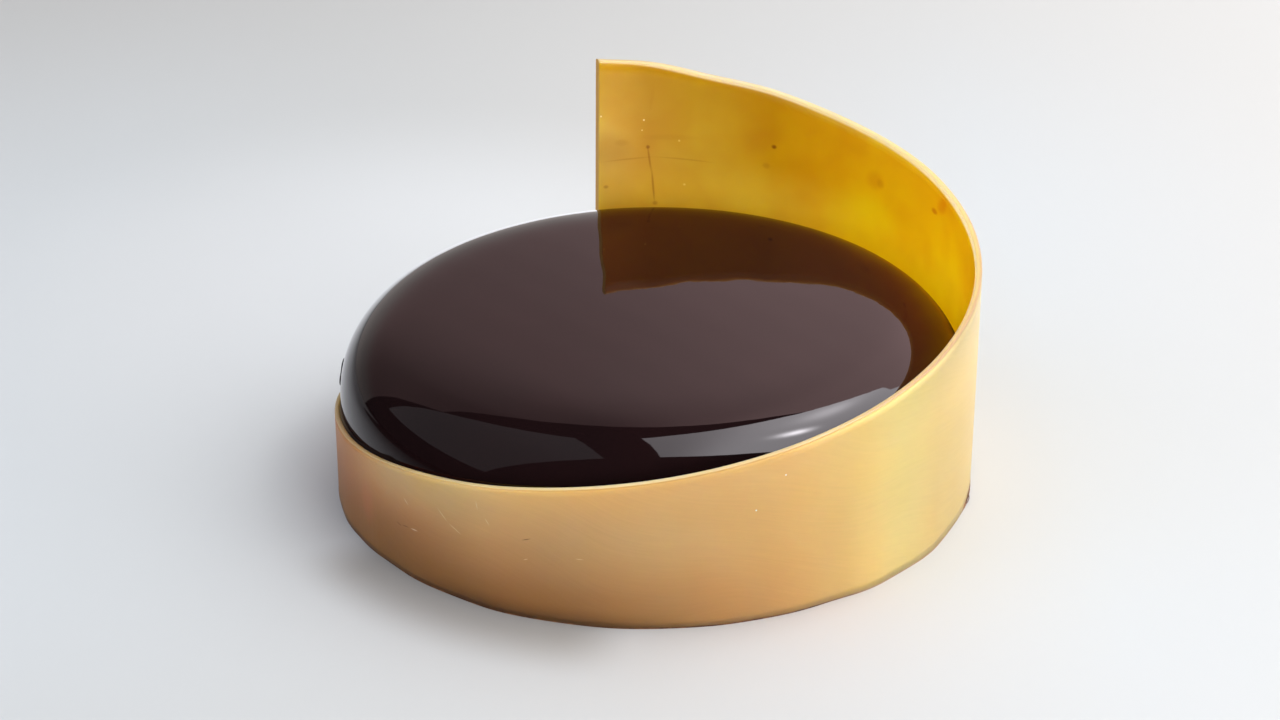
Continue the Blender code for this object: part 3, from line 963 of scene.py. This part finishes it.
# A painted pool of light, just behind the cake on the left.
from_bright = add_node(tree, "ShaderNodeVectorMath", {"operation": "DISTANCE", 0: place, 1: BRIGHT_PLACE})
sheet = coat(tree, sheet, "#DEE0E2", [(from_bright.outputs["Value"], 0.18, 0.04)])
from_axis = add_node(tree, "ShaderNodeVectorMath", {"operation": "LENGTH", 0: place})
heading = add_node(tree, "ShaderNodeVectorMath", {"operation": "NORMALIZE", 0: place})
facing = add_node(tree, "ShaderNodeVectorMath", {"operation": "DOT_PRODUCT",
                                                 0: heading.outputs["Vector"], 1: SHADE_HEADING})
# A painted shadow of the cake, in front of it on the left.
painted_cake_shadow = [(from_axis.outputs["Value"], 0.121, 0.098), (facing.outputs["Value"], 0.86, 0.95)]
sheet = coat(tree, sheet, "#D7D3CE", painted_cake_shadow, blend="MULTIPLY")
floor_mesh.materials.append(floor_material)
print("the floor is", 2 * FLOOR_HALF, "m across")

# %% [markdown]
# In the mirror of the glaze the paper has to be something else: a bright table that ends on the left,
# fades towards that end and is darker in front of the cake than behind it. Only mirrored rays see this
# colour, so the floor stays plain to the camera. It is brighter than any paper, as a table under a
# window is next to the rest of the room. Behind the cake the table reaches farther left.

# %% The table that the glaze mirrors
TABLE_LEFT = -0.45          # where the table ends, in metres
TABLE_FULL = -0.12          # where it has its full glow
TABLE_FADE = 2.5            # the power by which it fades between the two
TABLE_WIDER = 0.9           # how much farther left it reaches behind the cake
TABLE_GLOW = (1.58, 1.6, 1.66, 1.0)

from_end = add_node(tree, "ShaderNodeMapRange", {"Value": floor_x, "From Min": TABLE_LEFT,
                                                 "From Max": TABLE_FULL})
falling = add_node(tree, "ShaderNodeMath", {"operation": "POWER", 0: from_end.outputs["Result"],
                                            1: TABLE_FADE})
along_x = add_node(tree, "ShaderNodeMapRange", {"Value": falling.outputs[0], "To Min": 0.2,
                                                "To Max": 1.15})
along_y = add_node(tree, "ShaderNodeMapRange", {"Value": floor_y, "From Min": -0.06, "From Max": 0.08,
                                                "To Min": 0.3, "To Max": 1.0})
beyond = add_node(tree, "ShaderNodeMapRange", {"interpolation_type": "SMOOTHSTEP", "Value": floor_y,
                                               "From Min": 0.07, "From Max": 0.42,
                                               "To Min": 0.5, "To Max": 0.95})
wider = zone(tree, [(floor_y, 0.2, 0.5)], strength=TABLE_WIDER)
from_left = add_node(tree, "ShaderNodeMath", {"operation": "ADD", 0: floor_x, 1: wider})
on_table = add_node(tree, "ShaderNodeMath", {"operation": "GREATER_THAN", 0: from_left.outputs[0],
                                             1: TABLE_LEFT})
seen = 1.0
for part in (along_x, along_y, on_table, beyond):
    seen = add_node(tree, "ShaderNodeMath", {"operation": "MULTIPLY", 0: seen,
                                             1: part.outputs[0]}).outputs[0]
table = coat(tree, "#000000", TABLE_GLOW, strength=seen)
mirrored = add_node(tree, "ShaderNodeLightPath").outputs["Is Glossy Ray"]
tree.links.new(coat(tree, sheet, table, strength=mirrored), shader.inputs["Base Color"])
print("the mirrored table ends", -TABLE_LEFT, "m to the left")

# %% [markdown]
# ## The room
#
# A mirror has no look of its own, so half the work is the room. The glaze sees a sheet of paper standing
# behind the cake, a big bright window high on the right, a pale wall on the left and the table's end.
# Area lamps would be even all over, and a photographed room needs a file. So each is a card that glows
# by a formula: a grid of points carries its own brightness as an attribute. Cards are hidden from the
# camera, so that every side of the cake can be looked at.

# %% Card
CARD_ROWS = 60
print("each card has", CARD_ROWS ** 2, "points to carry its brightness")


def card(name, corners, glow, tint, mirror_tint="#FFFFFF", lighting=1.0):
    """A glowing sheet between four corners, in order round its edge.

    A point is the corners' average weighted by u and v, each from 0 to 1. glow(x, y, z) gives its
    brightness and how strongly the mirror tint colours it, which only mirrors see. What it gives to
    matt things is its brightness times lighting.
    """
    first, second, third, fourth = (np.array(corner) for corner in corners)
    u = np.linspace(0.0, 1.0, CARD_ROWS)[None, :, None]
    v = np.linspace(0.0, 1.0, CARD_ROWS)[:, None, None]
    points = (1 - v) * ((1 - u) * first + u * second) + v * ((1 - u) * fourth + u * third)
    made = mesh_object(name, points, grid_faces(CARD_ROWS, CARD_ROWS, wrap=False))
    brightness, warmth = (part + np.zeros(points.shape[:2]) for part in glow(*np.moveaxis(points, 2, 0)))
    keep(made, "brightness", brightness)
    keep(made, "warmth", warmth)
    material = bpy.data.materials.new(name)
    material.use_nodes = True
    tree = material.node_tree
    tree.nodes.clear()
    strength = add_node(tree, "ShaderNodeAttribute", {"attribute_name": "brightness"}).outputs["Fac"]
    warm = add_node(tree, "ShaderNodeAttribute", {"attribute_name": "warmth"}).outputs["Fac"]
    mirrored = add_node(tree, "ShaderNodeLightPath").outputs["Is Glossy Ray"]
    colour = coat(tree, tint, mirror_tint, [(mirrored, 0.0, 1.0)], strength=warm)
    scale = add_node(tree, "ShaderNodeMapRange", {"Value": mirrored, "To Min": lighting, "To Max": 1.0})
    shining = add_node(tree, "ShaderNodeMath", {"operation": "MULTIPLY", 0: strength,
                                                1: scale.outputs["Result"]})
    light = add_node(tree, "ShaderNodeEmission", {"Color": colour, "Strength": shining.outputs[0]})
    add_node(tree, "ShaderNodeOutputMaterial", {"Surface": light.outputs["Emission"]})
    made.data.materials.append(material)
    made.visible_camera = False
    return made


# %% [markdown]
# The standing paper is what the far half of the top mirrors. It is dim on the left and gets brighter in
# four steps to the right, each a soft rise at its own place.

# %% Standing paper
PAPER_DIM = 0.28            # its brightness at the far left
# Each step is how much brighter the paper gets, at which x, and over which width.
PAPER_STEPS = [(0.12, -0.7, 0.1), (0.50, 0.0, 0.06), (0.55, 0.3, 0.08), (0.25, 0.7, 0.1)]


def smooth_step(x, middle, width):
    """A rise from 0 to 1 that is half way at the middle: 1 / (1 + exp(-(x - middle) / width))."""
    return 1.0 / (1.0 + np.exp(-(x - middle) / width))


def paper_glow(x, y, z):
    """Light on the standing paper: PAPER_DIM plus its steps, less at the lower left.

    Its upper part throws back the room's warm colour; its foot takes the table's cool light.
    """
    level = PAPER_DIM + sum(rise * smooth_step(x, middle, width) for rise, middle, width in PAPER_STEPS)
    level = level * (1.0 - 0.4 * smooth_step(-x, 0.5, 0.1) * smooth_step(-z, -0.6, 0.15))
    low = smooth_step(-z, -0.25, 0.04)
    lowest = smooth_step(-z, -0.1, 0.03)
    return level * (1.0 + 0.35 * low + 0.25 * lowest), 1.0 - 0.8 * low


card("standing_paper", [(-1.32, 0.8, 0.0), (1.2, 0.8, 0.0), (1.2, 0.8, 1.78), (-2.0, 0.8, 2.1)],
     paper_glow, "#F4F2EE", "#FFD6D6", lighting=1.2)

# %% [markdown]
# The window is the strongest light. The glaze shows its slanted outline, an even sky that is dimmer at
# the left, one sharp bright spot and one soft streak. Its lower part, a card of its own, faces the cake's
# right side.

# %% Window
def blob(x, y, centre, along, across, angle):
    """A soft spot: exp(-(a / along)^2 - (b / across)^2), a and b measured on axes turned by the angle."""
    a = (x - centre[0]) * np.cos(angle) + (y - centre[1]) * np.sin(angle)
    b = (y - centre[1]) * np.cos(angle) - (x - centre[0]) * np.sin(angle)
    return np.exp(-(a / along) ** 2 - (b / across) ** 2)


def window_glow(x, y, z):
    """The window: an even sky that is dimmer at the left, with a sharp bright spot and a soft one."""
    sky = 2.1 + 2.7 * smooth_step(x, 0.22, 0.07) - 1.2 * smooth_step(x, 0.95, 0.12)
    spot = 18.0 * blob(x, y, (0.64, -0.03), 0.1, 0.055, np.radians(25.0))
    streak = 3.6 * blob(x, y, (0.67, 0.37), 0.2, 0.11, np.radians(53.0))
    return sky + spot + streak, 1.0


def side_glow(x, y, z):
    """The window's lower part: even, with no tint of its own in a mirror."""
    return 2.8, 0.0


card("window", [(-0.04, 0.08, 1.1), (0.03, -0.44, 1.1), (1.5, -0.5, 1.1), (1.5, 1.14, 1.1)],
     window_glow, "#F2F2F0", "#FDF8FE", lighting=0.77)
card("side_window", [(1.5, -1.2, 0.2), (1.5, 1.7, 0.2), (1.5, 1.7, 1.1), (1.5, -1.2, 1.1)],
     side_glow, "#F8F8F8", lighting=0.73)

# %% [markdown]
# The left wall is dim in the mirror but lights the left of the cake softly. Two fills, which no mirror
# sees, lift the front and the left of the band, as the rest of a bright room would.

# %% Wall and fills
def wall_glow(x, y, z):
    """The left wall: brighter high up."""
    return 0.27 + 0.11 * smooth_step(z, 1.7, 0.4), 1.0


def front_glow(x, y, z):
    """The fill at the front right: even and strong."""
    return 12.0, 0.0


def left_glow(x, y, z):
    """The fill on the left: even and weak."""
    return 1.9, 0.0


card("left_wall", [(-1.0, 0.36, 0.31), (-1.0, -0.58, 0.36), (-1.0, -1.7, 4.2), (-1.0, 0.3, 3.95)],
     wall_glow, "#E6EDFF", "#F4F1F6", lighting=4.6)
front_fill = card("front_fill", [(0.55, -1.4, 0.02), (1.35, -0.7, 0.02), (1.35, -0.7, 0.55),
                                 (0.55, -1.4, 0.55)], front_glow, "#FFFFFF")
left_fill = card("left_fill", [(-1.4, 0.6, 0.05), (-1.4, -0.9, 0.05), (-1.4, -0.9, 1.0),
                               (-1.4, 0.6, 1.0)], left_glow, "#FFF6EA")
front_fill.visible_glossy = False
left_fill.visible_glossy = False

# %% [markdown]
# What is left of the room is the world's colour. It is pale where the camera looks past the floor, a
# cool grey where it lights matt things, and almost black where a mirror looks between the cards, because
# that is what makes the glaze so dark. The Standard view keeps the colours as they are written here.

# %% World
world = bpy.data.worlds.new("room")
world.use_nodes = True
bpy.context.scene.world = world
tree = world.node_tree
path = add_node(tree, "ShaderNodeLightPath")
unseen = coat(tree, "#A2A9B0", "#242425", strength=path.outputs["Is Glossy Ray"])
room = coat(tree, unseen, "#E4E6EA", strength=path.outputs["Is Camera Ray"])
tree.links.new(room, tree.nodes["Background"].inputs["Color"])
bpy.context.scene.view_settings.view_transform = "Standard"
print("view:", bpy.context.scene.view_settings.view_transform)
